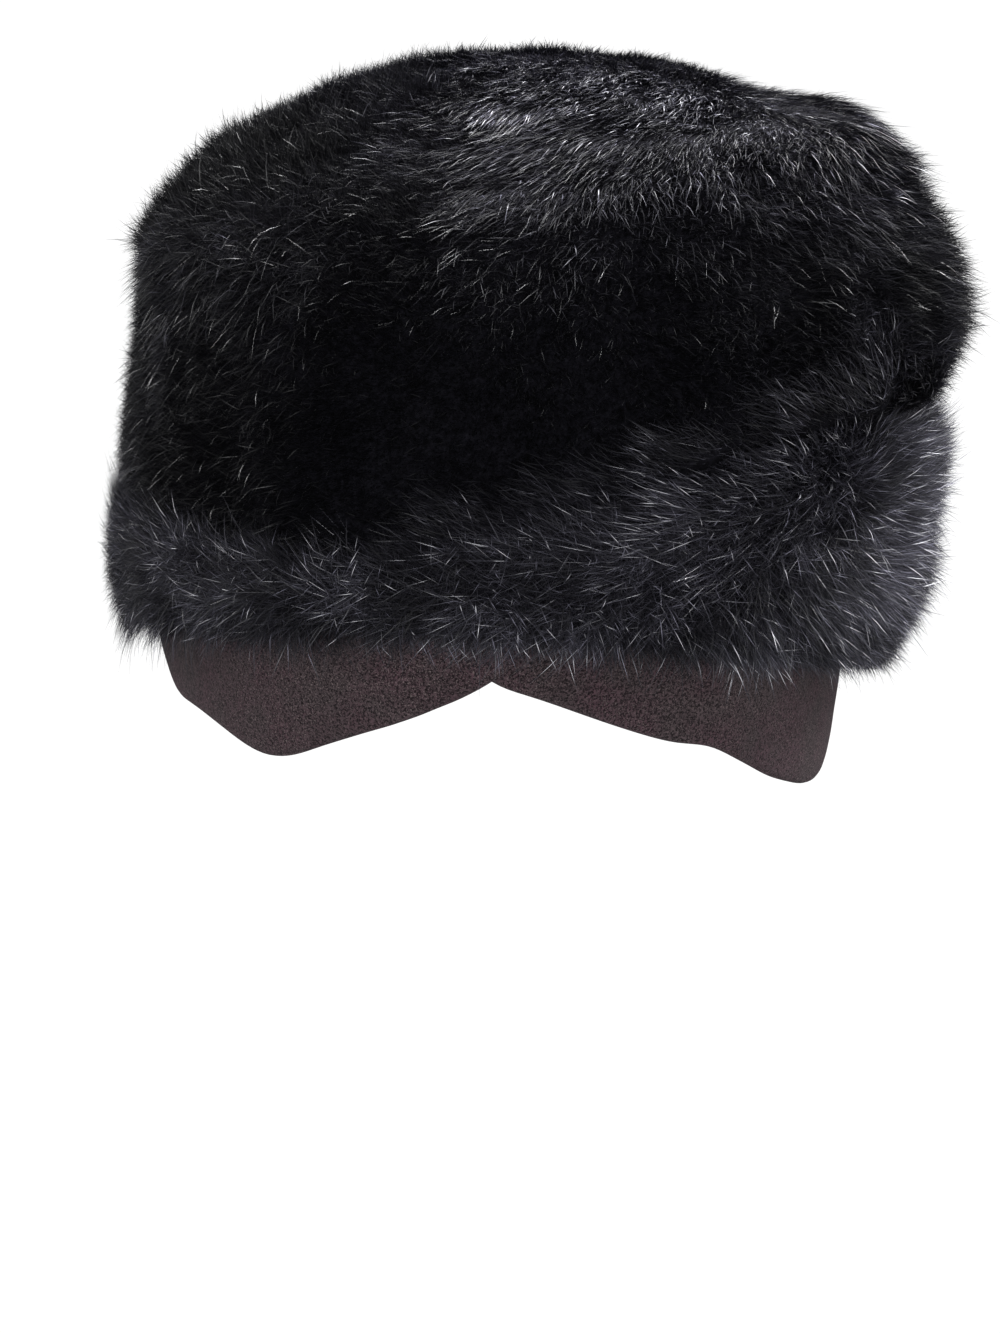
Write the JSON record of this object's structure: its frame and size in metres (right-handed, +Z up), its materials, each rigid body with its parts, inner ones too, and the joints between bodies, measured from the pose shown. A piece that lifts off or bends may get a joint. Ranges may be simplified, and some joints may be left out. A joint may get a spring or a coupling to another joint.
{
  "type": "papakha fur hat",
  "caption": "Tall rounded hat of deep dark pile with a turned-up fur cuff, and a wool ear band folded down below it, its ends crossed over the forehead.",
  "frame": {"origin": "where the top of the head bears on the inside of the crown, at the middle of the crown's inner face", "axes": "+Z up out of the crown, -Y to the front, where the ear band's ends cross, +X to the wearer's left, which is the right in the front view"},
  "size_m": [0.2229, 0.2456, 0.1811],
  "materials": {
    "knit_backing": "matte knitted backing of the pile",
    "black_fur": "long glossy black pile",
    "brown_wool": "matte brushed wool cloth"
  },
  "bodies": {
    "root": {"crown_pelt": "knit_backing", "crown_side_fur": "black_fur", "crown_top_fur": "black_fur", "cuff_fur": "black_fur", "ear_band": "brown_wool"}
  },
  "joints": []
}
